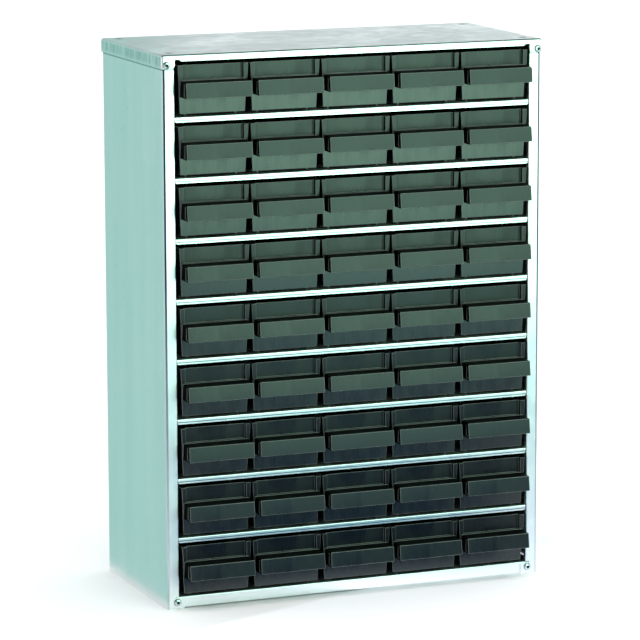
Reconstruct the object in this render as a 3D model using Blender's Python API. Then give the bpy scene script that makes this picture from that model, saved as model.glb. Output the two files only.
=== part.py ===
"""Parts organizer: a bent sheet-steel cabinet that holds 45 pull-out plastic drawers.

The cabinet stands on the XY plane, centred on X = 0 and Y = 0, and faces -Y.
Its depth runs from the drawer handles (-Y) to the rear lip of the top cap (+Y).
All sizes are in metres.
"""

import math

import bmesh
import bpy
from mathutils import Matrix, Vector

MM = 0.001

# Sheet steel
SHEET = 0.7 * MM
BEND_RADIUS = 1.5 * MM  # to the middle of the sheet
BEND_STEPS = 3
GAP = 0.3 * MM  # between pieces that touch on the real cabinet
CUT_MARGIN = 5 * MM  # how far a cutter runs past the sheet or plate that it cuts

# Cabinet front, from the top down: flange, nine bays with a shelf lip between each two, flange
ROWS = 9
COLUMNS = 5
TOP_FLANGE = 5 * MM
BAY_HEIGHT = 41 * MM
SHELF_LIP = 4 * MM
BOTTOM_FLANGE = 9 * MM
ROW_PITCH = BAY_HEIGHT + SHELF_LIP
HEIGHT = TOP_FLANGE + ROWS * BAY_HEIGHT + (ROWS - 1) * SHELF_LIP + BOTTOM_FLANGE

# Plan
WIDTH = 306 * MM  # over the top cap
DEPTH = 150 * MM  # from the handles to the rear of the top cap
HANDLE_REACH = 15 * MM  # how far a handle stands in front of the side flanges
OVERLAP = SHEET + GAP  # how far the cap stands outside the mantle, on every side
HALF_MANTLE = WIDTH / 2 - OVERLAP
HALF_OPENING = 142.7 * MM
UNDER_CAP = 0.6 * MM  # more room below the cap's top, for its round inner edge
MANTLE_HEIGHT = HEIGHT - OVERLAP - UNDER_CAP
FRONT = -DEPTH / 2 + HANDLE_REACH  # front face of the mantle's flanges
FRONT_CUT = (FRONT - CUT_MARGIN, FRONT + CUT_MARGIN)  # right through the front flanges
REAR = DEPTH / 2 - OVERLAP  # rear face of the mantle

# Top cap
CAP_SKIRT = 10.3 * MM
CAP_EDGE_RADIUS = 1.8 * MM
NOTCH_WIDTH = 5 * MM
NOTCH_RISE = 1.3 * MM
DIMPLE_RADIUS = 3.8 * MM
DIMPLE_DEPTH = 0.35 * MM
DIMPLE_INSET_X = 10.5 * MM
DIMPLE_INSET_FRONT = 13 * MM
DIMPLE_INSET_REAR = 12 * MM

# Mantle flanges and foot tabs, bottom pan and shelves
RETURN_DEPTH = 3.6 * MM  # the flanges' inner edges are bent back this far
BEND_RELIEF = 0.8 * MM
TAB_RELIEF = 0.02 * MM  # the foot tabs are set in this little from the flange around them
FOOT_TAB_REACH = 4.3 * MM  # past the opening's edge
FOOT_TAB_TOP = 7 * MM
FOOT_LIFT = 0.8 * MM  # the pan's flanges end this far above the ground
REAR_FLANGE = 8 * MM
END_CLEARANCE = 1.7 * MM  # from the mantle's outer face, which clears its bends

# Blind rivets
RIVET_HEAD_RADIUS = 2.9 * MM
RIVET_HEAD_HEIGHT = 1.3 * MM
RIVET_DOME_ANGLES = (65, 40, 10)  # degrees up from the sheet, for the dome's corners
RIVET_SHANK_RADIUS = 1.3 * MM
RIVET_HOLE_RADIUS = 1.6 * MM
MANDREL_HOLE = 0.7 * MM  # radius and depth
BULB_RADIUS = 1.8 * MM
BULB_END_RADIUS = 1.5 * MM
BULB_LENGTH = 2.5 * MM
RIVET_SIDES = 12
TOP_RIVET_X = 149.2 * MM
TOP_RIVET_Z = HEIGHT - 7.6 * MM
FOOT_RIVET_X = 144 * MM
FOOT_RIVET_Z = 5 * MM

# Drawer, measured from the bay's floor and from the plane of the side flanges
DRAWER_PITCH = 56.5 * MM
DRAWER_WIDTH = 55.1 * MM  # at the brim
DRAWER_FLOOR_WIDTH = 51 * MM
DRAWER_BRIM = 38.1 * MM
DRAWER_UNDERSIDE = 2.1 * MM
DRAWER_WALL = 1.4 * MM
RIB_FACE = -1.4 * MM
LABEL_RECESS = 3.1 * MM
RIB_WIDTH = 3.8 * MM
LOWER_FACE = 0.4 * MM  # the panel below the handle, at the handle's lower edge
FLOOR_SETBACK = 1.2 * MM
REAR_CLEARANCE = 0.7 * MM
STOP_TOP = 42.3 * MM
TRAVEL = 120 * MM
RUNNER_X = 19 * MM
RUNNER_WIDTH = 1.5 * MM
RUNNER_MARGIN = 4 * MM

# Drawer handle
LEDGE_TOP = 26.8 * MM
LEDGE_DROOP = 0.8 * MM
LEDGE_THICKNESS = 1.2 * MM
HANDLE_HEIGHT = 11.3 * MM
HANDLE_WIDTH = 51.4 * MM
HANDLE_LEAN = 1.5 * MM
HANDLE_PLATE = 1.3 * MM
LABEL_SLOT = 2.8 * MM
SLOT_FLOOR = 1 * MM


def material(name, colour, roughness, metallic):
    """A Principled material of one colour."""
    made = bpy.data.materials.new(name)
    made.use_nodes = True
    shader = made.node_tree.nodes["Principled BSDF"]
    shader.inputs["Base Color"].default_value = (*colour, 1.0)
    shader.inputs["Roughness"].default_value = roughness
    shader.inputs["Metallic"].default_value = metallic
    made.diffuse_color = (*colour, 1.0)
    return made


def add_object(name, mesh, finish):
    """An object in the scene for a mesh, with its material."""
    made = bpy.data.objects.new(name, mesh)
    bpy.context.collection.objects.link(made)
    if not mesh.materials:
        mesh.materials.append(finish)
    return made


def prism(name, outline, axis, low, high, finish):
    """A closed outline extruded from low to high along X, Y or Z.

    The outline's pairs are (Y, Z) for X, (X, Z) for Y and (X, Y) for Z.
    """
    places = {
        "X": lambda pair: (low, pair[0], pair[1]),
        "Y": lambda pair: (pair[0], low, pair[1]),
        "Z": lambda pair: (pair[0], pair[1], low),
    }
    shape = bmesh.new()
    face = shape.faces.new([shape.verts.new(places[axis](pair)) for pair in outline])
    extruded = bmesh.ops.extrude_face_region(shape, geom=[face])
    moved = [part for part in extruded["geom"] if isinstance(part, bmesh.types.BMVert)]
    travel = Vector([high - low if letter == axis else 0.0 for letter in "XYZ"])
    bmesh.ops.translate(shape, verts=moved, vec=travel)
    bmesh.ops.recalc_face_normals(shape, faces=shape.faces)
    mesh = bpy.data.meshes.new(name)
    shape.to_mesh(mesh)
    shape.free()
    return add_object(name, mesh, finish)


def box(name, low, high, finish):
    """A box between two corners."""
    outline = [(low[0], low[1]), (high[0], low[1]), (high[0], high[1]), (low[0], high[1])]
    return prism(name, outline, "Z", low[2], high[2], finish)


def turned(name, profile, sides, finish):
    """A solid turned about the Y axis from (radius, Y) pairs, closed at both ends on the axis."""
    shape = bmesh.new()
    verts = [shape.verts.new((radius, along, 0.0)) for radius, along in profile]
    for first, second in zip(verts, verts[1:]):
        shape.edges.new((first, second))
    bmesh.ops.spin(
        shape,
        geom=shape.verts[:] + shape.edges[:],
        cent=(0, 0, 0),
        axis=(0, 1, 0),
        angle=math.tau,
        steps=sides,
        use_merge=True,
    )
    bmesh.ops.remove_doubles(shape, verts=shape.verts, dist=0.00001)
    bmesh.ops.recalc_face_normals(shape, faces=shape.faces)
    mesh = bpy.data.meshes.new(name)
    shape.to_mesh(mesh)
    shape.free()
    return add_object(name, mesh, finish)


def combine(base, tool, operation="DIFFERENCE"):
    """Cuts, joins or intersects base with tool, and removes tool."""
    modifier = base.modifiers.new("combine", "BOOLEAN")
    modifier.operation = operation
    modifier.solver = "EXACT"
    modifier.object = tool
    depsgraph = bpy.context.evaluated_depsgraph_get()
    result = bpy.data.meshes.new_from_object(base.evaluated_get(depsgraph))
    base.modifiers.clear()
    base.data = result
    bpy.data.objects.remove(tool)


def merge_flat_faces(target):
    """Joins neighbouring faces that lie in one plane, so a cut leaves no stray edges."""
    shape = bmesh.new()
    shape.from_mesh(target.data)
    bmesh.ops.remove_doubles(shape, verts=shape.verts, dist=0.000005)
    bmesh.ops.dissolve_limit(
        shape, angle_limit=math.radians(0.05), verts=shape.verts, edges=shape.edges
    )
    shape.to_mesh(target.data)
    shape.free()


def bent_strip(corners):
    """The outline of a strip of sheet along a path, with a round bend at each inner corner."""
    points = [Vector(corner) for corner in corners]
    middle = []
    directions = [(b - a).normalized() for a, b in zip(points, points[1:])]
    middle.append((points[0], directions[0]))
    for corner, arriving, leaving in zip(points[1:-1], directions, directions[1:]):
        turn = arriving.angle_signed(leaving)  # positive clockwise
        trim = BEND_RADIUS * math.tan(abs(turn) / 2)
        start = corner - arriving * trim
        inward = Vector((arriving.y, -arriving.x)) * math.copysign(1, turn)
        centre = start + inward * BEND_RADIUS
        for step in range(BEND_STEPS + 1):
            spin = Matrix.Rotation(-turn * step / BEND_STEPS, 2)
            middle.append((centre + spin @ (start - centre), spin @ arriving))
    middle.append((points[-1], directions[-1]))
    offsets = [Vector((-along.y, along.x)) * SHEET / 2 for _, along in middle]
    one_side = [place + offset for (place, _), offset in zip(middle, offsets)]
    other_side = [place - offset for (place, _), offset in zip(middle, offsets)]
    return one_side + other_side[::-1]


def rivet_places():
    """Name, X, Z and front face Y of each rivet's outer sheet."""
    return [
        ("top_left", -TOP_RIVET_X, TOP_RIVET_Z, FRONT - OVERLAP),
        ("top_right", TOP_RIVET_X, TOP_RIVET_Z, FRONT - OVERLAP),
        ("foot_left", -FOOT_RIVET_X, FOOT_RIVET_Z, FRONT),
        ("foot_right", FOOT_RIVET_X, FOOT_RIVET_Z, FRONT),
    ]


def drill_rivet_holes(target, corner):
    """Drills a front flange for the two rivets at the top or at the foot."""
    for name, x, z, _ in rivet_places():
        if not name.startswith(corner):
            continue
        drill = turned("drill", round_bar(RIVET_HOLE_RADIUS, *FRONT_CUT), RIVET_SIDES, None)
        drill.location = (x, 0, z)
        combine(target, drill)


def round_bar(radius, low, high):
    """The turned profile of a plain round bar."""
    return [(0, low), (radius, low), (radius, high), (0, high)]


def make_mantle(steel):
    """Sides, rear and front flanges bent from one sheet, with a return along each inner edge."""
    side = HALF_MANTLE - SHEET / 2
    front = FRONT + SHEET / 2
    rear = REAR - SHEET / 2
    inner = HALF_OPENING + SHEET / 2
    path = [
        (-inner, FRONT + RETURN_DEPTH),
        (-inner, front),
        (-side, front),
        (-side, rear),
        (side, rear),
        (side, front),
        (inner, front),
        (inner, FRONT + RETURN_DEPTH),
    ]
    mantle = prism("mantle", bent_strip(path), "Z", 0, MANTLE_HEIGHT, steel)

    # At the foot a flat tab takes the return's place below a bend relief, and reaches over the pan
    above_pan = BOTTOM_FLANGE + GAP
    tab_side = above_pan - BEND_RELIEF
    root = HALF_OPENING + 2 * BEND_RADIUS
    for hand in (-1, 1):
        edges = sorted((hand * (HALF_OPENING - MM), hand * root))
        low = (edges[0], FRONT_CUT[0], -MM)
        combine(mantle, box("foot", low, (edges[1], FRONT_CUT[1], above_pan), steel))
        outline = [
            (HALF_OPENING - FOOT_TAB_REACH, TAB_RELIEF),
            (root + MM, TAB_RELIEF),
            (root + MM, tab_side),
            (HALF_OPENING, tab_side),
            (HALF_OPENING - FOOT_TAB_REACH, FOOT_TAB_TOP),
        ]
        mirrored = [(hand * x, z) for x, z in outline]
        tab = prism("tab", mirrored, "Y", FRONT + TAB_RELIEF, FRONT + SHEET - TAB_RELIEF, steel)
        combine(mantle, tab, "UNION")
    drill_rivet_holes(mantle, "top")
    drill_rivet_holes(mantle, "foot")
    merge_flat_faces(mantle)


def rounded_block(name, low, high, radius, finish):
    """A box whose upper edges and upright edges are round."""
    block = box(name, low, high, finish)
    shape = bmesh.new()
    shape.from_mesh(block.data)
    middle = (low[2] + high[2]) / 2
    rounded = [edge for edge in shape.edges if any(vert.co.z > middle for vert in edge.verts)]
    bmesh.ops.bevel(shape, geom=rounded, offset=radius, segments=BEND_STEPS, affect="EDGES", profile=0.5)
    shape.to_mesh(block.data)
    shape.free()
    return block


def make_top_cap(steel):
    """The lid: a shallow upturned tray over the mantle, with the front flange and two rivet tabs."""
    rim = HEIGHT - CAP_SKIRT
    low = Vector((-WIDTH / 2, FRONT - OVERLAP, rim))
    high = Vector((WIDTH / 2, REAR + OVERLAP, HEIGHT))
    cap = rounded_block("top_cap", low, high, CAP_EDGE_RADIUS, steel)
    wall = Vector((SHEET, SHEET, SHEET))
    inside_low = low + wall - Vector((0, 0, CUT_MARGIN))
    inside = rounded_block("inside", inside_low, high - wall, CAP_EDGE_RADIUS - SHEET, steel)
    combine(cap, inside)

    flange = HEIGHT - TOP_FLANGE
    inner = HALF_OPENING - NOTCH_WIDTH
    half = [
        (HALF_OPENING + CAP_EDGE_RADIUS, rim - MM),
        (HALF_OPENING + CAP_EDGE_RADIUS, rim),
        (HALF_OPENING, rim + CAP_EDGE_RADIUS),
        (HALF_OPENING, flange + NOTCH_RISE),
        (inner + NOTCH_RISE, flange + NOTCH_RISE),
        (inner, flange),
    ]
    outline = half + [(-x, z) for x, z in reversed(half)]
    combine(cap, prism("opening", outline, "Y", *FRONT_CUT, steel))
    drill_rivet_holes(cap, "top")

    rear_row = REAR + OVERLAP - DIMPLE_INSET_REAR
    front_row = FRONT - OVERLAP + DIMPLE_INSET_FRONT
    for x in (-WIDTH / 2 + DIMPLE_INSET_X, WIDTH / 2 - DIMPLE_INSET_X):
        for y in (front_row, rear_row):
            profile = round_bar(DIMPLE_RADIUS, -DIMPLE_DEPTH, MM)
            punch = turned("punch", profile, RIVET_SIDES, steel)
            punch.rotation_euler = (math.radians(90), 0, 0)
            punch.location = (x, y, HEIGHT)
            combine(cap, punch)
    merge_flat_faces(cap)


def make_bottom_pan(steel):
    """The floor: a sheet with a flange turned down at the front and at the rear."""
    front = FRONT + OVERLAP + SHEET / 2
    rear = REAR - OVERLAP - SHEET / 2
    level = BOTTOM_FLANGE - SHEET / 2
    path = [(front, FOOT_LIFT), (front, level), (rear, level), (rear, FOOT_LIFT)]
    half = HALF_MANTLE - END_CLEARANCE
    pan = prism("bottom_pan", bent_strip(path), "X", -half, half, steel)
    drill_rivet_holes(pan, "foot")
    merge_flat_faces(pan)


def bay_floor(row):
    """Height of the surface that a row's drawers slide on; row 1 is the top row."""
    return BOTTOM_FLANGE + (ROWS - row) * ROW_PITCH


def make_shelf(row, steel):
    """The shelf under a row: a sheet with a front lip between the returns, and a rear flange."""
    front = FRONT + OVERLAP + SHEET / 2
    rear = REAR - OVERLAP - SHEET / 2
    top = bay_floor(row)
    level = top - SHEET / 2
    path = [(front, top - SHELF_LIP), (front, level), (rear, level), (rear, top - REAR_FLANGE)]
    half = HALF_MANTLE - END_CLEARANCE
    shelf = prism(f"shelf_{row}", bent_strip(path), "X", -half, half, steel)
    lip_end = HALF_OPENING - GAP
    for hand in (-1, 1):
        edges = sorted((hand * lip_end, hand * (half + MM)))
        low = (edges[0], FRONT_CUT[0], top - REAR_FLANGE)
        high = (edges[1], FRONT + RETURN_DEPTH + GAP, top + MM)
        combine(shelf, box("notch", low, high, steel))
    merge_flat_faces(shelf)


def make_rivet(name, x, z, face, aluminium):
    """A blind rivet: domed head with the mandrel's hole, shank, and the bulb behind the sheets."""
    seat = face - GAP
    crown = seat - RIVET_HEAD_HEIGHT
    hole_floor = crown + MANDREL_HOLE
    blind_face = face + 2 * SHEET + 2 * GAP
    bulb_end = blind_face + BULB_LENGTH
    profile = [(0, hole_floor), (MANDREL_HOLE, hole_floor), (MANDREL_HOLE, crown)]
    for angle in map(math.radians, RIVET_DOME_ANGLES):
        rise = RIVET_HEAD_HEIGHT * math.sin(angle)
        profile.append((RIVET_HEAD_RADIUS * math.cos(angle), seat - rise))
    profile += [(RIVET_HEAD_RADIUS, seat), (RIVET_SHANK_RADIUS, seat)]
    profile += [(RIVET_SHANK_RADIUS, blind_face), (BULB_RADIUS, blind_face + SHEET)]
    profile += [(BULB_END_RADIUS, bulb_end), (0, bulb_end)]
    rivet = turned(f"rivet_{name}", profile, RIVET_SIDES, aluminium)
    rivet.location = (x, 0, z)
    rivet.data.shade_smooth()
    rivet.data.set_sharp_from_angle(angle=math.radians(40))


def taper(name, inset, low, high, finish):
    """A long prism with the drawer's cross-section, drawn in by inset at both sides."""
    slope = (DRAWER_WIDTH - DRAWER_FLOOR_WIDTH) / 2 / (DRAWER_BRIM - DRAWER_UNDERSIDE)
    brim = DRAWER_WIDTH / 2 - inset
    foot = brim - slope * (DRAWER_BRIM - low)
    outline = [(-foot, low), (foot, low), (brim, DRAWER_BRIM), (brim, high), (-brim, high)]
    outline.append((-brim, DRAWER_BRIM))
    return prism(name, outline, "Y", -DEPTH, DEPTH, finish)


def drawer_tub(plastic):
    """The drawer's tray, its front panel with two label ribs, and the raised stops at its rear."""
    rear = REAR - OVERLAP - REAR_CLEARANCE - FRONT
    stop = TRAVEL + OVERLAP + SHEET + GAP
    above = 2 * STOP_TOP  # clear of the whole drawer
    outline = [
        (RIB_FACE, DRAWER_BRIM),
        (RIB_FACE, LEDGE_TOP),
        (LOWER_FACE, LEDGE_TOP - LEDGE_DROOP - HANDLE_HEIGHT),
        (FLOOR_SETBACK, DRAWER_UNDERSIDE),
        (rear, DRAWER_UNDERSIDE),
        (rear, STOP_TOP),
        (stop, STOP_TOP),
        (stop, DRAWER_BRIM),
    ]
    tub = prism("tub", outline, "X", -DRAWER_WIDTH, DRAWER_WIDTH, plastic)
    combine(tub, taper("outside", 0, DRAWER_UNDERSIDE - MM, above, plastic), "INTERSECT")

    panel = RIB_FACE + LABEL_RECESS
    inner_front = panel + DRAWER_WALL
    inner_floor = DRAWER_UNDERSIDE + DRAWER_WALL
    outline = [
        (inner_front, above),
        (inner_front, inner_floor),
        (rear - DRAWER_WALL, inner_floor),
        (rear - DRAWER_WALL, above),
    ]
    cavity = prism("cavity", outline, "X", -DRAWER_WIDTH, DRAWER_WIDTH, plastic)
    shell = taper("inside", DRAWER_WALL, inner_floor - MM, above + MM, plastic)
    combine(cavity, shell, "INTERSECT")
    combine(tub, cavity)

    half = DRAWER_WIDTH / 2 - RIB_WIDTH
    low = (-half, RIB_FACE - MM, LEDGE_TOP)
    combine(tub, box("recess", low, (half, panel, STOP_TOP), plastic))
    return tub


def drawer_handle(plastic):
    """The pull: a ledge with a leaning plate, a label slot behind it and room for the fingers."""
    root = RIB_FACE + LABEL_RECESS + DRAWER_WALL / 2
    face_top = HANDLE_LEAN - HANDLE_REACH
    top = LEDGE_TOP - LEDGE_DROOP
    bottom = top - HANDLE_HEIGHT
    half = HANDLE_WIDTH / 2
    outline = [(root, LEDGE_TOP), (face_top, top), (-HANDLE_REACH, bottom), (root, bottom)]
    handle = prism("handle", outline, "X", -half, half, plastic)

    underside = top - LEDGE_THICKNESS
    slot_rear = face_top + HANDLE_PLATE + LABEL_SLOT
    slot_floor = bottom + SLOT_FLOOR
    outline = [
        (slot_rear, slot_floor),
        (slot_rear, underside),
        (face_top + HANDLE_PLATE, underside),
        (HANDLE_PLATE - HANDLE_REACH, slot_floor),
    ]
    combine(handle, prism("slot", outline, "X", -DRAWER_WIDTH, DRAWER_WIDTH, plastic))

    fingers = slot_rear + HANDLE_PLATE
    reach = half - HANDLE_PLATE
    low = (-reach, fingers, bottom - CUT_MARGIN)
    high = (reach, LOWER_FACE + DRAWER_WALL / 2, underside)
    combine(handle, box("finger_room", low, high, plastic))
    return handle


def drawer_mesh(plastic):
    """The mesh that all drawers share. Its origin is on the bay's floor, in the flanges' plane."""
    drawer = drawer_tub(plastic)
    combine(drawer, drawer_handle(plastic), "UNION")
    rear = REAR - OVERLAP - REAR_CLEARANCE - FRONT
    for hand in (-1, 1):
        edges = sorted((hand * RUNNER_X, hand * (RUNNER_X + RUNNER_WIDTH)))
        low = (edges[0], FLOOR_SETBACK + RUNNER_MARGIN, GAP)
        high = (edges[1], rear - RUNNER_MARGIN, DRAWER_UNDERSIDE + DRAWER_WALL / 2)
        combine(drawer, box("runner", low, high, plastic), "UNION")
    merge_flat_faces(drawer)
    mesh = drawer.data
    mesh.name = "drawer"
    bpy.data.objects.remove(drawer)
    return mesh


def make_drawers(plastic):
    """All the drawers, row by row from the top and column by column from the left."""
    mesh = drawer_mesh(plastic)
    for row in range(1, ROWS + 1):
        for column in range(1, COLUMNS + 1):
            drawer = add_object(f"drawer_r{row}c{column}", mesh, plastic)
            x = (column - (COLUMNS + 1) / 2) * DRAWER_PITCH
            drawer.location = (x, FRONT, bay_floor(row))


def main():
    for old in list(bpy.data.objects):
        bpy.data.objects.remove(old)
    steel = material("zinc_plated_steel", (0.62, 0.70, 0.70), 0.38, 0.9)
    aluminium = material("rivet_aluminium", (0.75, 0.77, 0.77), 0.3, 1.0)
    plastic = material("dark_drawer_plastic", (0.035, 0.05, 0.045), 0.35, 0.0)
    make_mantle(steel)
    make_top_cap(steel)
    make_bottom_pan(steel)
    for row in range(1, ROWS):
        make_shelf(row, steel)
    for name, x, z, face in rivet_places():
        make_rivet(name, x, z, face, aluminium)
    make_drawers(plastic)


main()
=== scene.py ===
"""The parts organizer's looks: a zinc-plated sheet-steel cabinet with dark moulded drawers.

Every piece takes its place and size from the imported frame. Sizes are in metres.
"""

import math

import bmesh
import bpy
from mathutils import Matrix, Vector


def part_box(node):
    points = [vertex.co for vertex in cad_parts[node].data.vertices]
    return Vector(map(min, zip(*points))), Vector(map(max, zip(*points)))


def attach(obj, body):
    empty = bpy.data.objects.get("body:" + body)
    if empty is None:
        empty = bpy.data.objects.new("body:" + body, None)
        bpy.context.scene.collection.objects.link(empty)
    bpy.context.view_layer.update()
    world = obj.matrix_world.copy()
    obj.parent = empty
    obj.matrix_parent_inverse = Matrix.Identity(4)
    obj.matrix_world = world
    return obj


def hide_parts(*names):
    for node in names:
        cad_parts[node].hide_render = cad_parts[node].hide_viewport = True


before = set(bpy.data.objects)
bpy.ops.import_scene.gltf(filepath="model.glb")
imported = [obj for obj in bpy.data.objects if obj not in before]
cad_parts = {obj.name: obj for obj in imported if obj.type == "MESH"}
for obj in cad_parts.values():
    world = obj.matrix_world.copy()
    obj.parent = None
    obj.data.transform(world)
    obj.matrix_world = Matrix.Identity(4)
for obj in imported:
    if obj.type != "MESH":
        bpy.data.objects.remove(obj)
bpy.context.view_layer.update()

MM = 0.001
BODY = "cabinet"

# Places read from the frame
MANTLE_LOW, MANTLE_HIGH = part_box("mantle")
CAP_LOW, CAP_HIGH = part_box("top_cap")
PAN_LOW, PAN_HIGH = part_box("bottom_pan")
SHELVES = sorted(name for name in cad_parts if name.startswith("shelf_"))
DRAWERS = sorted(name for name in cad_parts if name.startswith("drawer_"))
RIVETS = sorted(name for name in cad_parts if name.startswith("rivet_"))
FRONT = MANTLE_LOW.y
REAR = MANTLE_HIGH.y
CAP_SHEET = CAP_HIGH.x - MANTLE_HIGH.x  # the cap closes the small gap that the frame keeps

# Sheet steel
SHEET = 0.7 * MM
BEND_RADIUS = 1.5 * MM  # to the middle of the sheet
FOLD_RADIUS = 0.6 * MM  # the tighter folds of lips and returns
BEND_STEPS = 8
HALF_OPENING = 142.7 * MM
RETURN_DEPTH = 3.6 * MM
BEND_RELIEF = 0.8 * MM
JOINT_INSET = 0.02 * MM
GAP = 0.3 * MM
TOP_FLANGE = 5 * MM
BOTTOM_FLANGE = 9 * MM
SHELF_LIP = 4 * MM
REAR_FLANGE = 8 * MM
FOOT_TAB_REACH = 4.3 * MM
FOOT_TAB_TOP = 7 * MM
CAP_EDGE_RADIUS = 1.9 * MM
NOTCH_WIDTH = 5 * MM
NOTCH_RISE = 1.3 * MM
TAB_CORNER_ROUND = 3 * MM
DIMPLE_RADIUS = 3.6 * MM
DIMPLE_DEPTH = 0.8 * MM
DIMPLE_INSET_X = 10.5 * MM
DIMPLE_INSET_FRONT = 13 * MM
DIMPLE_INSET_REAR = 12 * MM
RIVET_HOLE_RADIUS = 1.6 * MM
RIVET_BORE = 1.05 * MM
RIVET_BORE_DEPTH = 0.9 * MM
RIVET_DOME = 68  # degrees up the dome at which the bore starts
RIVET_SHANK = 1.3 * MM
RIVET_BULB = 1.8 * MM
WELD_RADIUS = 0.7 * MM
WELD_DEPTH = 0.35 * MM
WELD_INSET = 2.4 * MM
LIP_END_ROUND = 1.4 * MM

# Drawers
WALL = 1.4 * MM
WALL_DRAFT = 1.9 * MM  # how far a side wall leans in from brim to floor
LOWER_PANEL_TOP = 15 * MM
LOWER_PANEL_FOOT = 0.6 * MM  # behind the plane of the cabinet's flanges
LEDGE_TOP = 27 * MM
CUT_MARGIN = 5 * MM
EDGE_ROUND = 0.38 * MM
EDGE_ANGLE = 20  # degrees, the least bend that counts as an edge
GUIDE_FOOT = 2.5 * MM
GUIDE_DEPTH = 0.8 * MM
GUIDE_WIDTH = 1.1 * MM
GUIDE_SLOT = 1.6 * MM
# The first slot holds a lighter plastic for the rounded edges, a painted highlight; the second a
# darker copy, a painted shade.
EDGES, PAINTED_SHADE, POLISHED = 1, 2, 3  # material slots after the plain plastic
GUIDE_PLACES = (0.36, 0.66)  # shares of the drawer's length

# Camera
CAMERA_PLACE = (-1.0687, -2.6101, 0.7034)
CAMERA_YAW, CAMERA_PITCH, CAMERA_ROLL = -22.186, -10.135, -0.153  # degrees
CAMERA_LENS = 210.4  # mm, on a sensor 36 mm wide


# ---------------------------------------------------------------- mesh helpers


def add_object(name, mesh):
    """An object in the scene for a mesh."""
    made = bpy.data.objects.new(name, mesh)
    bpy.context.scene.collection.objects.link(made)
    return made


def prism(name, outline, axis, low, high):
    """A closed outline extruded along X, Y or Z. Its pairs are (Y, Z), (X, Z) or (X, Y)."""
    places = {
        "X": lambda pair: (low, pair[0], pair[1]),
        "Y": lambda pair: (pair[0], low, pair[1]),
        "Z": lambda pair: (pair[0], pair[1], low),
    }
    shape = bmesh.new()
    face = shape.faces.new([shape.verts.new(places[axis](pair)) for pair in outline])
    extruded = bmesh.ops.extrude_face_region(shape, geom=[face])
    moved = [part for part in extruded["geom"] if isinstance(part, bmesh.types.BMVert)]
    travel = Vector([high - low if letter == axis else 0.0 for letter in "XYZ"])
    bmesh.ops.translate(shape, verts=moved, vec=travel)
    bmesh.ops.recalc_face_normals(shape, faces=shape.faces)
    mesh = bpy.data.meshes.new(name)
    shape.to_mesh(mesh)
    shape.free()
    return add_object(name, mesh)


def box(name, low, high):
    """A plain box between two corners."""
    outline = [(low[0], low[1]), (high[0], low[1]), (high[0], high[1]), (low[0], high[1])]
    return prism(name, outline, "Z", low[2], high[2])


def turned(name, profile, sides):
    """A solid turned about the Y axis from (radius, Y) pairs that start and end on the axis."""
    shape = bmesh.new()
    verts = [shape.verts.new((radius, along, 0.0)) for radius, along in profile]
    for first, second in zip(verts, verts[1:]):
        shape.edges.new((first, second))
    bmesh.ops.spin(
        shape,
        geom=shape.verts[:] + shape.edges[:],
        cent=(0, 0, 0),
        axis=(0, 1, 0),
        angle=math.tau,
        steps=sides,
        use_merge=True,
    )
    bmesh.ops.remove_doubles(shape, verts=shape.verts, dist=0.000002)
    bmesh.ops.recalc_face_normals(shape, faces=shape.faces)
    mesh = bpy.data.meshes.new(name)
    shape.to_mesh(mesh)
    shape.free()
    return add_object(name, mesh)


def apply_modifiers(target):
    """Replaces the mesh by what its modifiers make of it."""
    depsgraph = bpy.context.evaluated_depsgraph_get()
    result = bpy.data.meshes.new_from_object(target.evaluated_get(depsgraph))
    target.modifiers.clear()
    target.data = result


def combine(base, tool, operation="DIFFERENCE"):
    """Cuts, joins or intersects base with tool, and removes tool."""
    modifier = base.modifiers.new("combine", "BOOLEAN")
    modifier.operation = operation
    modifier.solver = "EXACT"
    modifier.object = tool
    apply_modifiers(base)
    bpy.data.objects.remove(tool)


def merge_flat_faces(mesh, degrees=0.05):
    """Joins faces that lie in one plane, which Boolean cuts leave split."""
    shape = bmesh.new()
    shape.from_mesh(mesh)
    bmesh.ops.remove_doubles(shape, verts=shape.verts, dist=0.000005)
    bmesh.ops.dissolve_limit(
        shape, angle_limit=math.radians(degrees), verts=shape.verts, edges=shape.edges
    )
    shape.to_mesh(mesh)
    shape.free()


def smooth_bends(target, degrees=32):
    """Smooth shading over the bends, with the flat faces' own normals kept."""
    target.data.shade_smooth()
    target.data.set_sharp_from_angle(angle=math.radians(degrees))
    modifier = target.modifiers.new("normals", "WEIGHTED_NORMAL")
    modifier.keep_sharp = True
    modifier.weight = 100
    apply_modifiers(target)


def round_bar(radius, low, high):
    """The profile of a plain round bar, for turned."""
    return [(0, low), (radius, low), (radius, high), (0, high)]


def bent_strip(corners, radii):
    """The outline of a strip of sheet along a path, with a round bend at each inner corner."""
    points = [Vector(corner) for corner in corners]
    directions = [(b - a).normalized() for a, b in zip(points, points[1:])]
    middle = [(points[0], directions[0])]
    for corner, arriving, leaving, radius in zip(points[1:-1], directions, directions[1:], radii):
        turn = arriving.angle_signed(leaving)  # positive clockwise
        trim = radius * math.tan(abs(turn) / 2)
        start = corner - arriving * trim
        inward = Vector((arriving.y, -arriving.x)) * math.copysign(1, turn)
        centre = start + inward * radius
        for step in range(BEND_STEPS + 1):
            spin = Matrix.Rotation(-turn * step / BEND_STEPS, 2)
            middle.append((centre + spin @ (start - centre), spin @ arriving))
    middle.append((points[-1], directions[-1]))
    offsets = [Vector((-along.y, along.x)) * SHEET / 2 for _, along in middle]
    one_side = [place + offset for (place, _), offset in zip(middle, offsets)]
    other_side = [place - offset for (place, _), offset in zip(middle, offsets)]
    return one_side + other_side[::-1]


# ------------------------------------------------------------------- materials


def set_stops(ramp, stops):
    """Fills a colour ramp with (position, colour) stops."""
    while len(ramp.elements) < len(stops):
        ramp.elements.new(0.5)
    for element, (position, colour) in zip(ramp.elements, stops):
        element.position = position
        element.color = (*colour, 1)


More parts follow.
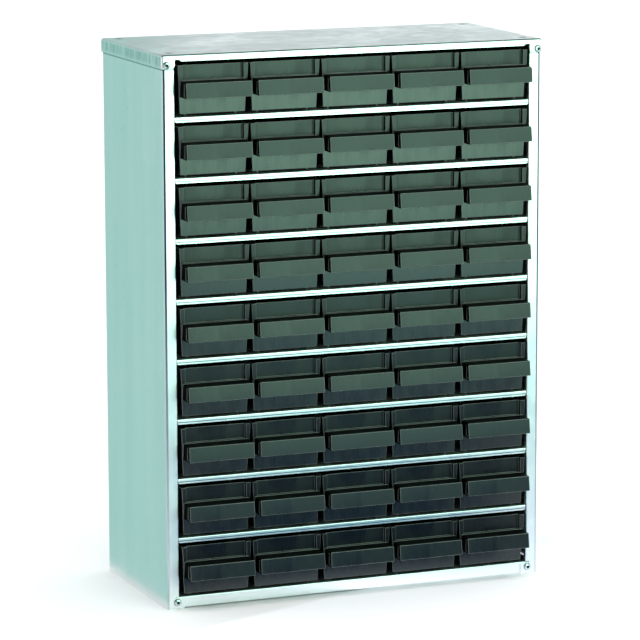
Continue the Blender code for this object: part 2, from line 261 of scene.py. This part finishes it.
class Nodes:
    """A small helper that adds and links shader nodes in one material."""

    def __init__(self, name, colour, roughness, metallic):
        self.material = bpy.data.materials.new(name)
        self.material.use_nodes = True
        self.tree = self.material.node_tree
        self.shader = self.tree.nodes["Principled BSDF"]
        self.shader.inputs["Base Color"].default_value = (*colour, 1)
        self.shader.inputs["Roughness"].default_value = roughness
        self.shader.inputs["Metallic"].default_value = metallic
        self.coordinates = self.tree.nodes.new("ShaderNodeTexCoord").outputs["Object"]

    def link(self, output, target):
        """Joins an output to an input socket."""
        self.tree.links.new(output, target)

    def noise(self, scale, detail, stretch=(1, 1, 1)):
        """Noise over the object, with scale in cells per metre, stretched per axis."""
        mapping = self.tree.nodes.new("ShaderNodeMapping")
        mapping.inputs["Scale"].default_value = stretch
        self.link(self.coordinates, mapping.inputs["Vector"])
        texture = self.tree.nodes.new("ShaderNodeTexNoise")
        texture.inputs["Scale"].default_value = scale
        texture.inputs["Detail"].default_value = detail
        texture.inputs["Roughness"].default_value = 0.55
        self.link(mapping.outputs["Vector"], texture.inputs["Vector"])
        return texture.outputs["Fac"]

    def streaks(self, scale, detail, along, share):
        """Noise drawn out along one axis, to cells 1 / share times as long."""
        stretch = tuple(share if letter == along else 1.0 for letter in "XYZ")
        return self.noise(scale, detail, stretch)

    def cells(self, scale):
        """A random value for each cell, with scale in cells per metre."""
        texture = self.tree.nodes.new("ShaderNodeTexVoronoi")
        texture.inputs["Scale"].default_value = scale
        self.link(self.coordinates, texture.inputs["Vector"])
        separate = self.tree.nodes.new("ShaderNodeSeparateColor")
        self.link(texture.outputs["Color"], separate.inputs["Color"])
        return separate.outputs["Red"]

    def spread(self, value, low, high, source=(0.3, 0.7)):
        """Maps the source range of a value onto low to high."""
        node = self.tree.nodes.new("ShaderNodeMapRange")
        node.inputs["From Min"].default_value = source[0]
        node.inputs["From Max"].default_value = source[1]
        node.inputs["To Min"].default_value = low
        node.inputs["To Max"].default_value = high
        self.link(value, node.inputs["Value"])
        return node.outputs["Result"]

    def ramp(self, value, *stops):
        """A colour ramp from (position, colour) stops."""
        node = self.tree.nodes.new("ShaderNodeValToRGB")
        set_stops(node.color_ramp, stops)
        self.link(value, node.inputs["Fac"])
        return node.outputs["Color"]

    def darken(self, mask, tone):
        """Multiplies the base colour by a tone, as far as a mask output says."""
        node = self.tree.nodes.new("ShaderNodeMix")
        node.data_type = "RGBA"
        node.blend_type = "MULTIPLY"
        factor, bare, multiplier = node.inputs[0], node.inputs[6], node.inputs[7]
        colour = self.shader.inputs["Base Color"]
        self.link(mask, factor)
        self.link(colour.links[0].from_socket, bare)
        multiplier.default_value = (*tone, 1)
        self.link(node.outputs[2], colour)

    def add(self, first, second, share):
        """first plus share times second."""
        node = self.tree.nodes.new("ShaderNodeMath")
        node.operation = "MULTIPLY_ADD"
        node.inputs[1].default_value = share
        self.link(second, node.inputs[0])
        self.link(first, node.inputs[2])
        return node.outputs["Value"]

    def part(self, axis):
        """One coordinate of the object."""
        node = self.tree.nodes.new("ShaderNodeSeparateXYZ")
        self.link(self.coordinates, node.inputs["Vector"])
        return node.outputs[axis]

    def math(self, operation, first, second=0.0):
        """A maths node between outputs or plain numbers."""
        node = self.tree.nodes.new("ShaderNodeMath")
        node.operation = operation
        for socket, value in zip(node.inputs, (first, second)):
            if isinstance(value, bpy.types.NodeSocket):
                self.link(value, socket)
            else:
                socket.default_value = value
        return node.outputs["Value"]

    def band(self, value, low, high, soft):
        """1 where the value lies between low and high, with soft ends."""
        rising = self.spread(value, 0, 1, (low - soft, low + soft))
        falling = self.spread(value, 1, 0, (high - soft, high + soft))
        return self.math("MULTIPLY", rising, falling)

    def bump(self, height, distance, strength=1.0):
        """Adds a bump in front of any bump that is there already."""
        node = self.tree.nodes.new("ShaderNodeBump")
        node.inputs["Strength"].default_value = strength
        node.inputs["Distance"].default_value = distance
        self.link(height, node.inputs["Height"])
        normal = self.shader.inputs["Normal"]
        if normal.is_linked:
            self.link(normal.links[0].from_socket, node.inputs["Normal"])
        self.link(node.outputs["Normal"], normal)


def zinc_steel(name, along):
    """Bright zinc-plated sheet, with faint spangle and fine rolling lines along one axis."""
    nodes = Nodes(name, (0.86, 0.86, 0.85), 0.36, 1.0)
    lines = nodes.streaks(900, 4, along, 0.02)
    bands = nodes.streaks(60, 2, along, 0.05)
    spangle = nodes.cells(160)
    cloud = nodes.noise(14, 3)
    tone = nodes.add(nodes.add(lines, bands, 0.9), spangle, 0.25)
    tone = nodes.add(tone, cloud, 0.7)
    colour = nodes.ramp(
        nodes.spread(tone, 0, 1, (1.0, 1.8)),
        (0.0, (0.83, 0.805, 0.825)),
        (1.0, (0.93, 0.89, 0.915)),
    )
    nodes.link(colour, nodes.shader.inputs["Base Color"])
    worn = nodes.add(cloud, spangle, 0.35)
    rough = nodes.add(worn, lines, 0.5)
    nodes.link(nodes.spread(rough, 0.27, 0.45, (0.55, 1.15)), nodes.shader.inputs["Roughness"])
    nodes.bump(nodes.noise(9, 1), 1.2 * MM, 0.03)  # the sheet isn't quite flat
    nodes.bump(lines, 0.012 * MM, 0.6)
    return nodes


def mantle_steel():
    """Upright sheet, with painted dark reflections along the front bends and a painted shadow line
    under the cap's lower rim.

    The painted reflection on the bends grows with height.
    """
    nodes = zinc_steel("zinc_steel_upright", "Z")
    # Painted dark reflection: the front bends are darkened to a deep blue, more so higher up.
    across = nodes.math("ABSOLUTE", nodes.part("X"))
    bend = nodes.band(across, MANTLE_HIGH.x - 1.9 * MM, MANTLE_HIGH.x - 0.4 * MM, 0.12 * MM)
    ahead = nodes.spread(nodes.part("Y"), 1, 0, (FRONT + 1.2 * MM, FRONT + 1.5 * MM))
    height = nodes.spread(nodes.part("Z"), 0.25, 1, (0.0, 0.6 * MANTLE_HIGH.z))
    mask = nodes.math("MULTIPLY", nodes.math("MULTIPLY", bend, ahead), height)
    nodes.darken(mask, (0.05, 0.08, 0.14))
    # Painted shadow: a darker band on the sides just under the cap's lower rim.
    cap_shadow_band = nodes.band(nodes.part("Z"), CAP_LOW.z - 1.1 * MM, CAP_LOW.z + MM, 0.3 * MM)
    nodes.darken(nodes.math("MULTIPLY", cap_shadow_band, 0.9), (0.2, 0.27, 0.28))
    return nodes.material


def cap_steel():
    """Level sheet with a painted dark reflection along its front bend, and painted upright streaks
    of reflection on its skirts.

    The painted streaks leave out the front flange and fade towards the skirts' lower rim.
    """
    nodes = zinc_steel("zinc_steel_cap", "X")
    # Painted reflection: upright streaks darken the skirts, weakest near their lower rim.
    reflection_streaks = nodes.streaks(420, 3, "Z", 0.06)
    height = nodes.part("Z")
    skirt = nodes.spread(height, 1, 0, (CAP_HIGH.z - 2.2 * MM, CAP_HIGH.z - 1.4 * MM))
    behind = nodes.spread(nodes.part("Y"), 0, 1, (CAP_LOW.y + 1.5 * MM, CAP_LOW.y + 2.5 * MM))
    skirt = nodes.math("MULTIPLY", skirt, behind)
    upper = nodes.spread(height, 0.25, 1, (CAP_LOW.z + MM, CAP_LOW.z + 3 * MM))
    share = nodes.math("MULTIPLY", nodes.spread(reflection_streaks, 1, 0.05, (0.42, 0.62)), upper)
    nodes.darken(nodes.math("MULTIPLY", skirt, share), (0.6, 0.68, 0.66))
    # Painted dark reflection along the rounded front edge of the top.
    bend = nodes.band(nodes.part("Y"), CAP_LOW.y + 0.25 * MM, CAP_LOW.y + 1.1 * MM, 0.15 * MM)
    high = nodes.spread(height, 0, 1, (CAP_HIGH.z - 1.6 * MM, CAP_HIGH.z - 1.2 * MM))
    nodes.darken(nodes.math("MULTIPLY", bend, high), (0.5, 0.58, 0.6))
    return nodes.material


def shelf_steel():
    """Level sheet with a painted shade line low on the front lip."""
    nodes = zinc_steel("zinc_steel_shelf", "X")
    # Painted shade: a grey-blue band low on the lip stands in for its dim reflection.
    lip_shade_line = nodes.band(nodes.part("Z"), -2.9 * MM, -2.2 * MM, 0.2 * MM)
    nodes.darken(lip_shade_line, (0.2, 0.24, 0.28))
    return nodes.material


def rivet_metal():
    """Dull aluminium, with painted shade inside the mandrel's bore and a painted shadow ring round
    the head's rim.
    """
    nodes = Nodes("rivet_aluminium", (0.6, 0.66, 0.66), 0.28, 1.0)
    scuffs = nodes.noise(1400, 4)
    colour = nodes.ramp(scuffs, (0.35, (0.5, 0.56, 0.56)), (0.65, (0.8, 0.84, 0.83)))
    nodes.link(colour, nodes.shader.inputs["Base Color"])
    across = nodes.math("POWER", nodes.part("X"), 2.0)
    up = nodes.math("POWER", nodes.part("Z"), 2.0)
    reach = nodes.math("SQRT", nodes.math("ADD", across, up))
    # Painted shade in the bore, and a painted shadow ring round the head's rim.
    nodes.darken(nodes.spread(reach, 1, 0, (RIVET_BORE, 1.3 * RIVET_BORE)), (0.03, 0.04, 0.05))
    nodes.darken(nodes.spread(reach, 0, 1, (2.3 * MM, 2.7 * MM)), (0.25, 0.32, 0.33))
    nodes.link(nodes.spread(scuffs, 0.2, 0.42), nodes.shader.inputs["Roughness"])
    nodes.bump(scuffs, 0.06 * MM, 0.5)
    return nodes.material


def drawer_plastic(name, dark, light, smooth, gloss=0.5):
    """Dark moulded plastic with a fine grain, faint flow streaks and light scuffs."""
    nodes = Nodes(name, dark, 0.4, 0.0)
    nodes.shader.inputs["Specular IOR Level"].default_value = gloss
    nodes.shader.inputs["IOR"].default_value = 1.42
    grain = nodes.noise(5200, 2)
    flow = nodes.streaks(170, 3, "Z", 0.12)
    cloud = nodes.noise(38, 2)
    tone = nodes.add(cloud, flow, 0.8)
    colour = nodes.ramp(nodes.spread(tone, 0, 1, (0.6, 1.2)), (0.0, dark), (1.0, light))
    nodes.link(colour, nodes.shader.inputs["Base Color"])
    rough = nodes.add(nodes.add(cloud, flow, 0.9), grain, 0.3)
    roughness = nodes.spread(rough, smooth, smooth + 0.24, (0.8, 1.5))
    nodes.link(roughness, nodes.shader.inputs["Roughness"])
    nodes.bump(flow, 0.08 * MM, 0.5)
    nodes.bump(grain, 0.012 * MM, 0.5)
    return nodes.material


# ---------------------------------------------------------------- steel pieces


def finish_piece(piece, material, node):
    """Gives a piece of the cabinet its material and puts it in its node's place."""
    piece.data.materials.clear()
    piece.data.materials.append(material)
    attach(piece, BODY)
    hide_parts(node)


def drill_front(target, corner):
    """The two rivet holes at the top or at the foot of a front flange."""
    for name in RIVETS:
        if corner in name:
            low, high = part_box(name)
            drill = turned("drill", round_bar(RIVET_HOLE_RADIUS, -CUT_MARGIN, CUT_MARGIN), 24)
            drill.location = ((low.x + high.x) / 2, FRONT, (low.z + high.z) / 2)
            combine(target, drill)


def make_mantle(steel):
    """Sides, rear and front flanges, with a return along the flanges' inner edges."""
    side = MANTLE_HIGH.x - SHEET / 2
    front = FRONT + SHEET / 2
    rear = REAR - SHEET / 2
    inner = HALF_OPENING + SHEET / 2
    path = [(-inner, FRONT + RETURN_DEPTH), (-inner, front), (-side, front), (-side, rear)]
    path += [(-x, y) for x, y in reversed(path)]
    radii = [FOLD_RADIUS, BEND_RADIUS, BEND_RADIUS, BEND_RADIUS, BEND_RADIUS, FOLD_RADIUS]
    mantle = prism("steel_mantle", bent_strip(path, radii), "Z", 0, MANTLE_HIGH.z)

    # The flat foot tabs take the return's place below a bend relief
    above_pan = BOTTOM_FLANGE + GAP
    root = HALF_OPENING + 2 * BEND_RADIUS
    outline = [
        (HALF_OPENING - FOOT_TAB_REACH, JOINT_INSET),
        (root + MM, JOINT_INSET),
        (root + MM, above_pan - BEND_RELIEF),
        (HALF_OPENING, above_pan - BEND_RELIEF),
        (HALF_OPENING - FOOT_TAB_REACH, FOOT_TAB_TOP),
    ]
    for hand in (-1, 1):
        edges = sorted((hand * (HALF_OPENING - MM), hand * root))
        low = (edges[0], FRONT - CUT_MARGIN, -MM)
        combine(mantle, box("foot", low, (edges[1], FRONT + CUT_MARGIN, above_pan)))
        mirrored = [(hand * x, z) for x, z in outline]
        tab_faces = (FRONT + JOINT_INSET, FRONT + SHEET - JOINT_INSET)
        combine(mantle, prism("tab", mirrored, "Y", *tab_faces), "UNION")
    drill_front(mantle, "top")
    drill_front(mantle, "foot")
    merge_flat_faces(mantle.data)
    smooth_bends(mantle)
    finish_piece(mantle, steel, "mantle")


def rounded_block(name, low, high, radius):
    """A box whose upper edges and upright edges are round."""
    block = box(name, low, high)
    shape = bmesh.new()
    shape.from_mesh(block.data)
    middle = (low[2] + high[2]) / 2
    edges = [edge for edge in shape.edges if any(vert.co.z > middle for vert in edge.verts)]
    bmesh.ops.bevel(
        shape, geom=edges, offset=radius, segments=BEND_STEPS, affect="EDGES", profile=0.5
    )
    shape.to_mesh(block.data)
    shape.free()
    return block


def make_top_cap(steel):
    """The lid: a tray with round edges, an opening for the drawers and four dimples."""
    cap = rounded_block("steel_top_cap", CAP_LOW, CAP_HIGH, CAP_EDGE_RADIUS)
    wall = Vector((CAP_SHEET, CAP_SHEET, CAP_SHEET))
    inside_low = CAP_LOW + wall - Vector((0, 0, CUT_MARGIN))
    inside_high = CAP_HIGH - wall
    combine(cap, rounded_block("inside", inside_low, inside_high, CAP_EDGE_RADIUS - CAP_SHEET))

    rim, flange = CAP_LOW.z, CAP_HIGH.z - TOP_FLANGE
    inner = HALF_OPENING - NOTCH_WIDTH
    half = [(HALF_OPENING + TAB_CORNER_ROUND, rim - MM)]
    for degrees in (0, 22.5, 45, 67.5, 90):
        angle = math.radians(degrees)
        across = HALF_OPENING + TAB_CORNER_ROUND * (1 - math.sin(angle))
        half.append((across, rim + TAB_CORNER_ROUND * (1 - math.cos(angle))))
    half += [(HALF_OPENING, flange + NOTCH_RISE), (inner + NOTCH_RISE, flange + NOTCH_RISE)]
    half.append((inner, flange))
    outline = half + [(-x, z) for x, z in reversed(half)]
    combine(cap, prism("opening", outline, "Y", FRONT - CUT_MARGIN, FRONT + SHEET / 2))
    drill_front(cap, "top")

    ball_radius = (DIMPLE_RADIUS**2 + DIMPLE_DEPTH**2) / (2 * DIMPLE_DEPTH)
    for x in (CAP_LOW.x + DIMPLE_INSET_X, CAP_HIGH.x - DIMPLE_INSET_X):
        for y in (CAP_LOW.y + DIMPLE_INSET_FRONT, CAP_HIGH.y - DIMPLE_INSET_REAR):
            arc = [math.radians(degrees) for degrees in range(0, 31, 3)]
            profile = [(ball_radius * math.sin(a), -ball_radius * math.cos(a)) for a in arc]
            profile.append((0, profile[-1][1]))
            punch = turned("punch", profile, 32)
            punch.rotation_euler = (math.radians(90), 0, 0)
            punch.location = (x, y, CAP_HIGH.z + ball_radius - DIMPLE_DEPTH)
            combine(cap, punch)
    merge_flat_faces(cap.data)
    smooth_bends(cap)
    finish_piece(cap, steel, "top_cap")


def cut_lip_end(sheet, hand, low, high, lip):
    """Ends a shelf's front lip at the flange's return, with its lower corner rounded off."""
    end = HALF_OPENING - GAP
    outside = high.x + MM
    top, foot = high.z + MM, high.z - lip
    outline = [(end, top)]
    for step in range(BEND_STEPS + 1):
        angle = math.radians(90 * step / BEND_STEPS)
        across = end - LIP_END_ROUND * (1 - math.cos(angle))
        outline.append((across, foot + LIP_END_ROUND * (1 - math.sin(angle))))
    outline += [(end - LIP_END_ROUND, foot - MM), (outside, foot - MM), (outside, top)]
    mirrored = [(hand * x, z) for x, z in outline]
    faces = (low.y - MM, FRONT + RETURN_DEPTH + GAP)
    combine(sheet, prism("notch", mirrored, "Y", *faces))


def make_floor_sheet(name, node, lip, lip_ends_at, steel):
    """A shelf or the bottom pan: a sheet with a front lip and a rear flange turned down."""
    low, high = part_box(node)
    front = low.y + SHEET / 2
    rear = high.y - SHEET / 2
    level = high.z - SHEET / 2
    path = [(front, high.z - lip), (front, level), (rear, level), (rear, lip_ends_at)]
    sheet = prism(name, bent_strip(path, (FOLD_RADIUS, BEND_RADIUS)), "X", low.x, high.x)
    if node in SHELVES:
        for hand in (-1, 1):
            cut_lip_end(sheet, hand, low, high, lip)
            dent = turned("dent", round_bar(WELD_RADIUS, -MM, WELD_DEPTH), 16)
            dent.location = (hand * (HALF_OPENING - WELD_INSET), low.y, high.z - lip / 2)
            combine(sheet, dent)
    else:
        drill_front(sheet, "foot")
    merge_flat_faces(sheet.data)
    smooth_bends(sheet)
    sheet.data.transform(Matrix.Translation((0, 0, -high.z)))
    sheet.location.z = high.z
    finish_piece(sheet, steel, node)


def make_rivet(node, metal):
    """A blind rivet's domed head on the sheet, its mandrel hole, shank and blind bulb."""
    low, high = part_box(node)
    radius = (high.x - low.x) / 2
    crown = low.y
    seat = FRONT - CAP_SHEET if "top" in node else FRONT
    height = seat - crown
    bore_end = crown + RIVET_BORE_DEPTH
    profile = [(0, bore_end), (0.9 * RIVET_BORE, bore_end), (RIVET_BORE, crown + 0.1 * MM)]
    for degrees in range(RIVET_DOME, -1, -4):
        angle = math.radians(degrees)
        lift = height * math.sin(angle) / math.sin(math.radians(RIVET_DOME))
        profile.append((radius * math.cos(angle), seat - lift))
    blind = seat + 2.2 * MM
    profile += [(RIVET_SHANK, seat), (RIVET_SHANK, blind), (RIVET_BULB, blind + 0.5 * MM)]
    profile += [(1.7 * MM, high.y - 0.4 * MM), (1.2 * MM, high.y), (0, high.y)]
    rivet = turned(f"blind_{node}", profile, 40)
    rivet.location = ((low.x + high.x) / 2, 0, (low.z + high.z) / 2)
    smooth_bends(rivet, 35)
    finish_piece(rivet, metal, node)


# --------------------------------------------------------------------- drawers


def divider_guides(low, high):
    """Upright guide ribs on both side walls, in pairs that would hold a divider."""
    length = high.y - low.y
    height = high.z - low.z
    guides = []
    for share in GUIDE_PLACES:
        middle = low.y + share * length
        for side in (-1, 1):
            near = middle + side * GUIDE_SLOT / 2
            far = middle + side * (GUIDE_SLOT / 2 + GUIDE_WIDTH)
            start, stop = sorted((near, far))
            for hand in (-1, 1):
                brim = high.x - WALL / 2
                foot = brim - WALL_DRAFT
                outline = [
                    (hand * foot, low.z + GUIDE_FOOT),
                    (hand * (brim - 0.3 * MM), low.z + 0.8 * height),
                    (hand * (brim - WALL / 2 - GUIDE_DEPTH), low.z + 0.78 * height),
                    (hand * (foot - WALL / 2 - GUIDE_DEPTH), low.z + GUIDE_FOOT),
                ]
                guides.append(prism("guide", outline, "Y", start, stop))
    return guides


def set_panel_foot(mesh):
    """Brings the foot of the panel below the handle forward, to make it nearly upright."""
    for vert in mesh.vertices:
        if vert.co.y < 2 * MM and vert.co.z < 2 * MM:
            vert.co.y = LOWER_PANEL_FOOT


def drawer_mesh(first):
    """The mesh that all drawers share: the frame's drawer with guides, and every edge rounded."""
    low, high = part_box(first)
    origin = Vector(((low.x + high.x) / 2, FRONT, low.z))
    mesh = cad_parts[first].data.copy()
    mesh.transform(Matrix.Translation(-origin))
    set_panel_foot(mesh)
    merge_flat_faces(mesh, 0.2)
    drawer = add_object("drawer", mesh)
    local_low = low - origin
    local_high = high - origin
    for guide in divider_guides(local_low, local_high):
        combine(drawer, guide, "UNION")
    merge_flat_faces(drawer.data, 0.2)
    modifier = drawer.modifiers.new("round", "BEVEL")
    modifier.width = EDGE_ROUND
    modifier.segments = 2
    modifier.limit_method = "ANGLE"
    modifier.angle_limit = math.radians(EDGE_ANGLE)
    modifier.use_clamp_overlap = False
    # The rounded edges take the lighter plastic, a painted highlight.
    modifier.material = EDGES
    modifier.miter_outer = "MITER_ARC"
    while len(drawer.data.materials) <= POLISHED:
        drawer.data.materials.append(None)
    apply_modifiers(drawer)
    smooth_bends(drawer, 40)
    sort_drawer_faces(drawer.data)
    result = drawer.data
    bpy.data.objects.remove(drawer)
    return result


def sort_drawer_faces(mesh):
    """Gives the ledge tops and end faces a darker copy of the plastic as painted shade, and the
    polished lower panel its own material.
    """
    for face in mesh.polygons:
        ahead = face.center.y < MM
        aside = abs(face.normal.x)
        if face.material_index == EDGES:
            # Painted shade: ledge tops, handle ends and the rounded edges at the ends take the
            # darker copy.
            if ahead and aside > 0.3 and face.normal.y > -0.3 and face.center.z < LEDGE_TOP:
                face.material_index = PAINTED_SHADE
        elif ahead and (face.normal.z > 0.8 or aside > 0.85):
            face.material_index = PAINTED_SHADE
        elif face.normal.y < -0.9 and -2 * MM < face.center.y and face.center.z < LOWER_PANEL_TOP:
            face.material_index = POLISHED


def make_drawers():
    """One piece for each drawer, all of one mesh with four plastics by material slot."""
    mesh = drawer_mesh(DRAWERS[0])
    dark, light = (0.001, 0.0022, 0.005), (0.004, 0.0056, 0.0075)
    # The rounded edges get a lighter plastic, a painted highlight.
    highlight_dark, highlight_light = (0.05, 0.065, 0.06), (0.13, 0.15, 0.13)
    # Ledge tops and handle ends get a near-black, barely glossy copy, a painted shade.
    shade_dark, shade_light = (0.0003, 0.0005, 0.0008), (0.001, 0.0012, 0.0014)
    plastics = [
        drawer_plastic("drawer_plastic", dark, light, 0.2),
        drawer_plastic("drawer_edge_highlights", highlight_dark, highlight_light, 0.25),
        drawer_plastic("drawer_painted_shade", shade_dark, shade_light, 0.4, 0.06),
        drawer_plastic("drawer_polished", dark, light, 0.2, 0.85),
    ]
    for index, plastic in enumerate(plastics):
        mesh.materials[index] = plastic
    for node in DRAWERS:
        low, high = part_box(node)
        drawer = add_object(f"moulded_{node}", mesh)
        drawer.location = ((low.x + high.x) / 2, FRONT, low.z)
        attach(drawer, f"{node}_body")
        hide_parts(node)


# ----------------------------------------------------- camera, lights and floor


def make_camera():
    """A long lens from the front left, a little above the cabinet's top."""
    data = bpy.data.cameras.new("camera")
    data.sensor_width = 36
    data.lens = CAMERA_LENS
    data.clip_start = 0.05
    data.clip_end = 60
    camera = bpy.data.objects.new("camera", data)
    bpy.context.scene.collection.objects.link(camera)
    yaw = Matrix.Rotation(math.radians(CAMERA_YAW), 4, "Z")
    tilt = Matrix.Rotation(math.radians(90 + CAMERA_PITCH), 4, "X")
    roll = Matrix.Rotation(math.radians(CAMERA_ROLL), 4, "Z")
    camera.matrix_world = Matrix.Translation(CAMERA_PLACE) @ yaw @ tilt @ roll
    bpy.context.scene.camera = camera


def soft_sun(name, direction, strength, spread):
    """A broad even light for the floor and the plastics. The metal's reflections leave it out."""
    data = bpy.data.lights.new(name, "SUN")
    data.energy = strength
    data.angle = math.radians(spread)
    light = bpy.data.objects.new(name, data)
    bpy.context.scene.collection.objects.link(light)
    light.rotation_euler = Vector(direction).to_track_quat("-Z", "Y").to_euler()
    light.visible_glossy = False


def glow(name, length, stops, flat, fade):
    """A card's light: (share, strength, tint) stops along it, and a fade towards its sides.

    The fade is (half width at the foot, growth with height, soft edge, share in the middle,
    share at the sides).
    """
    nodes = Nodes(name, (0.0, 0.0, 0.0), 1.0, 0.0)
    along = nodes.part("Y" if flat else "Z")
    share = nodes.spread(along, 0, 1, (0, -length if flat else length))
    top = max(strength for _, strength, _ in stops)
    colours = [
        (place, tuple(strength / top * part for part in tint)) for place, strength, tint in stops
    ]
    nodes.link(nodes.ramp(share, *colours), nodes.shader.inputs["Emission Color"])
    nodes.shader.inputs["Emission Strength"].default_value = top
    if fade:
        foot_half, growth, soft, inside, outside = fade
        across = nodes.math("ABSOLUTE", nodes.part("X"))
        across = nodes.add(across, nodes.math("MINIMUM", along, 0.2), -growth)
        bounds = (foot_half, foot_half + soft)
        strength = nodes.spread(across, inside * top, outside * top, bounds)
        nodes.link(strength, nodes.shader.inputs["Emission Strength"])
    nodes.shader.inputs["Specular IOR Level"].default_value = 0.0
    return nodes.material


def card(name, centre, turn, size, stops, flat=False, fade=None, slant=0.0):
    """A studio card that only shows in reflections: upright, or flat on the floor.

    Its stops run from its foot or rear edge to its far edge. A slant moves a flat card's far
    edge to the right by this share of its length.
    """
    width, length = size
    corners = [(-width / 2, 0), (width / 2, 0), (width / 2, length), (-width / 2, length)]
    places = [(x + slant * far, -far, 0) if flat else (x, 0, far) for x, far in corners]
    shape = bmesh.new()
    shape.faces.new([shape.verts.new(place) for place in places])
    mesh = bpy.data.meshes.new(name)
    shape.to_mesh(mesh)
    shape.free()
    mesh.materials.append(glow(f"{name}_glow", length, stops, flat, fade))
    made = add_object(name, mesh)
    made.location = centre
    made.rotation_euler = (0, 0, math.radians(turn))
    made.visible_camera = False
    made.visible_shadow = False
    made.visible_diffuse = False


def make_floor():
    """A wide pale floor."""
    shape = bmesh.new()
    bmesh.ops.create_grid(shape, x_segments=4, y_segments=4, size=8.0)
    mesh = bpy.data.meshes.new("floor")
    shape.to_mesh(mesh)
    shape.free()
    floor = add_object("floor", mesh)
    nodes = Nodes("pale_floor", (0.9, 0.9, 0.9), 0.6, 0.0)
    grain = nodes.noise(3, 3)
    colour = nodes.ramp(grain, (0.3, (0.88, 0.885, 0.885)), (0.7, (0.92, 0.92, 0.92)))
    nodes.link(colour, nodes.shader.inputs["Base Color"])
    nodes.link(nodes.spread(grain, 0.55, 0.7), nodes.shader.inputs["Roughness"])
    mesh.materials.append(nodes.material)


def make_world():
    """A studio that is bright near the horizon and dark overhead."""
    world = bpy.data.worlds.new("studio")
    bpy.context.scene.world = world
    world.use_nodes = True
    tree = world.node_tree
    direction = tree.nodes.new("ShaderNodeTexCoord").outputs["Generated"]
    separate = tree.nodes.new("ShaderNodeSeparateXYZ")
    tree.links.new(direction, separate.inputs["Vector"])
    ramp = tree.nodes.new("ShaderNodeValToRGB")
    tree.links.new(separate.outputs["Z"], ramp.inputs["Fac"])
    glows = [(0.0, 1.25), (0.25, 1.25), (0.5, 0.4), (0.75, 0.12)]
    set_stops(ramp.color_ramp, [(place, (0.88 * glow, glow, glow)) for place, glow in glows])
    tree.links.new(ramp.outputs["Color"], tree.nodes["Background"].inputs["Color"])


def make_lights():
    """A broad light from above, and the cards and mats that the faces mirror."""
    soft_sun("overhead", (0.0, 0.12, -1.0), 3.3, 70)
    green, blue, deep_blue = (0.57, 1.0, 0.75), (0.45, 0.8, 1.0), (0.2, 0.6, 1.0)
    mint, pale, slate = (0.54, 1.0, 0.9), (0.8, 0.93, 1.0), (0.8, 0.9, 1.0)
    # Front right, what the drawers and the front flanges mirror
    key = [
        (0.0, 0.6, blue),
        (0.05, 0.7, blue),
        (0.1, 1.4, (0.4, 0.8, 1.0)),
        (0.16, 3.3, (0.54, 1.0, 0.8)),
        (0.22, 4.8, green),
        (1.0, 4.5, green),
    ]
    card("key_card", (0.19, -0.56, 0.0), 22.5, (0.9, 1.0), key, fade=(0.04, 0.62, 0.18, 1, 0.25))
    # On the floor in front, pale for the flanges' feet and dark for the low drawers
    near = [(0.0, 1.75, pale), (0.15, 1.3, pale), (1.0, 1.1, pale)]
    card("pale_mat", (0.0, FRONT, 0.5 * MM), 22, (0.9, 0.5), near, flat=True)
    shade = [(0.0, 0.3, deep_blue), (1.0, 0.35, deep_blue)]
    card("dark_mat", (0.0, FRONT - 0.045, MM), 0, (0.284, 0.44), shade, flat=True, slant=0.4)
    # Back left, what the left side mirrors
    side = [(0.0, 0.7, mint), (1.0, 0.68, mint)]
    card("side_card", (-0.45, 0.42, 0.0), 22.5, (1.2, 0.6), side)
    card("side_mat", (-0.56, 0.6, 0.5 * MM), 0, (0.8, 0.7), side, flat=True)
    # Right, for the side that the camera doesn't see
    hidden = [(0.0, 0.75, pale), (1.0, 0.65, pale)]
    card("right_card", (0.6, 0.5, 0.0), 90, (1.2, 0.41), hidden)
    card("right_mat", (0.62, 1.14, 0.5 * MM), 0, (0.9, 1.2), hidden, flat=True)
    # Front left, the dark of the studio
    card("dark_card", (-0.5, -0.95, 0.0), -22, (1.0, 0.7), [(0.0, 0.03, slate), (1.0, 0.02, slate)])


def main():
    """Makes every piece, then the floor, the lights and the camera."""
    bpy.context.scene.view_settings.view_transform = "Standard"
    make_mantle(mantle_steel())
    make_top_cap(cap_steel())
    level = zinc_steel("zinc_steel_level", "X").material
    make_floor_sheet("steel_bottom_pan", "bottom_pan", PAN_HIGH.z - PAN_LOW.z, PAN_LOW.z, level)
    lipped = shelf_steel()
    for node in SHELVES:
        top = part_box(node)[1].z
        make_floor_sheet(f"steel_{node}", node, SHELF_LIP, top - REAR_FLANGE, lipped)
    metal = rivet_metal()
    for node in RIVETS:
        make_rivet(node, metal)
    make_drawers()
    make_floor()
    make_world()
    make_lights()
    make_camera()


main()
